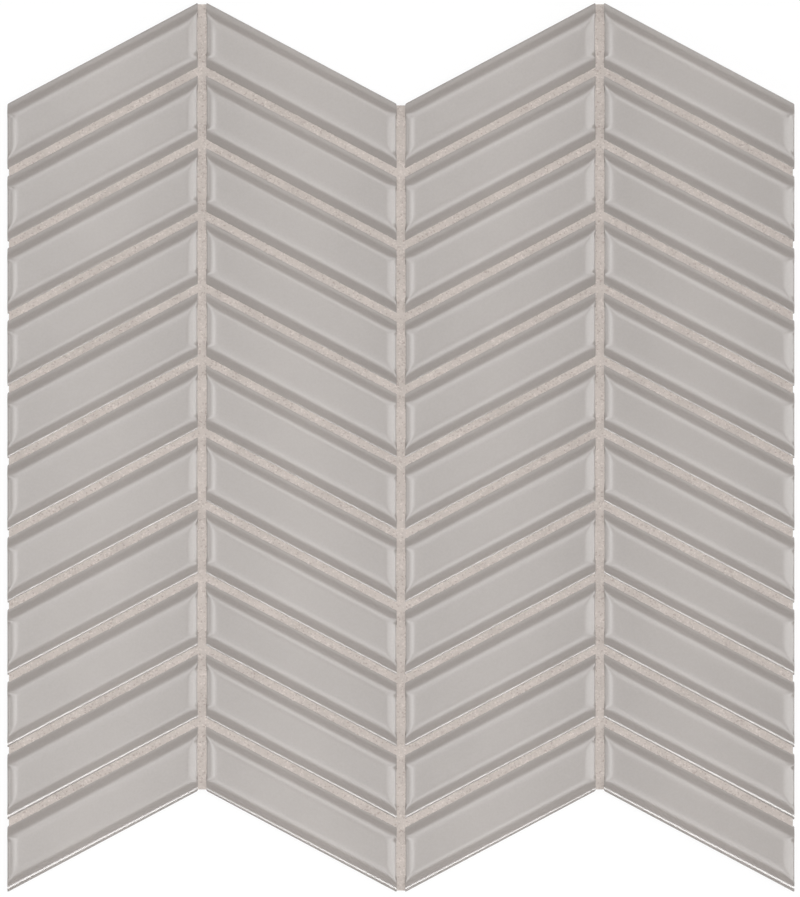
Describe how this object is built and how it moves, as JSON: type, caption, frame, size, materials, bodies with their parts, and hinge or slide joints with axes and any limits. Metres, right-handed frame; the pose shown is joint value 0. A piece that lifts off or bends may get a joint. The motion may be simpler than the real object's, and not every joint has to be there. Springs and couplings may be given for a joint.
{
  "type": "chevron ceramic mosaic wall tile",
  "caption": "Flat sheet of glossy grey ceramic chips laid in a chevron pattern, with tooled grout joints and a mesh backing, for facing a wall.",
  "frame": {"origin": "middle of the sheet's outline, on the plane that its mesh backing lies on", "axes": "+X across the columns, +Y up the wall towards the chevron peaks, +Z out of the glazed face"},
  "size_m": [0.3014, 0.3408, 0.0075],
  "materials": {
    "glossy_glaze": "warm grey glaze, glossy, over a pressed ceramic body",
    "sanded_grout": "matt, fine sand",
    "glass_fibre_mesh": "coated yarn"
  },
  "bodies": {
    "root": {"ceramic_chip_column1_row01": "glossy_glaze", "ceramic_chip_column1_row02": "glossy_glaze", "ceramic_chip_column1_row03": "glossy_glaze", "ceramic_chip_column1_row04": "glossy_glaze", "ceramic_chip_column1_row05": "glossy_glaze", "ceramic_chip_column1_row06": "glossy_glaze", "ceramic_chip_column1_row07": "glossy_glaze", "ceramic_chip_column1_row08": "glossy_glaze", "ceramic_chip_column1_row09": "glossy_glaze", "ceramic_chip_column1_row10": "glossy_glaze", "ceramic_chip_column1_row11": "glossy_glaze", "ceramic_chip_column2_row01": "glossy_glaze", "ceramic_chip_column2_row02": "glossy_glaze", "ceramic_chip_column2_row03": "glossy_glaze", "ceramic_chip_column2_row04": "glossy_glaze", "ceramic_chip_column2_row05": "glossy_glaze", "ceramic_chip_column2_row06": "glossy_glaze", "ceramic_chip_column2_row07": "glossy_glaze", "ceramic_chip_column2_row08": "glossy_glaze", "ceramic_chip_column2_row09": "glossy_glaze", "ceramic_chip_column2_row10": "glossy_glaze", "ceramic_chip_column2_row11": "glossy_glaze", "ceramic_chip_column3_row01": "glossy_glaze", "ceramic_chip_column3_row02": "glossy_glaze", "ceramic_chip_column3_row03": "glossy_glaze", "ceramic_chip_column3_row04": "glossy_glaze", "ceramic_chip_column3_row05": "glossy_glaze", "ceramic_chip_column3_row06": "glossy_glaze", "ceramic_chip_column3_row07": "glossy_glaze", "ceramic_chip_column3_row08": "glossy_glaze", "ceramic_chip_column3_row09": "glossy_glaze", "ceramic_chip_column3_row10": "glossy_glaze", "ceramic_chip_column3_row11": "glossy_glaze", "ceramic_chip_column4_row01": "glossy_glaze", "ceramic_chip_column4_row02": "glossy_glaze", "ceramic_chip_column4_row03": "glossy_glaze", "ceramic_chip_column4_row04": "glossy_glaze", "ceramic_chip_column4_row05": "glossy_glaze", "ceramic_chip_column4_row06": "glossy_glaze", "ceramic_chip_column4_row07": "glossy_glaze", "ceramic_chip_column4_row08": "glossy_glaze", "ceramic_chip_column4_row09": "glossy_glaze", "ceramic_chip_column4_row10": "glossy_glaze", "ceramic_chip_column4_row11": "glossy_glaze", "grout_column1": "sanded_grout", "grout_column2": "sanded_grout", "grout_column3": "sanded_grout", "grout_column4": "sanded_grout", "mesh_crosswise_yarns": "glass_fibre_mesh", "mesh_lengthwise_yarns": "glass_fibre_mesh"}
  },
  "joints": []
}
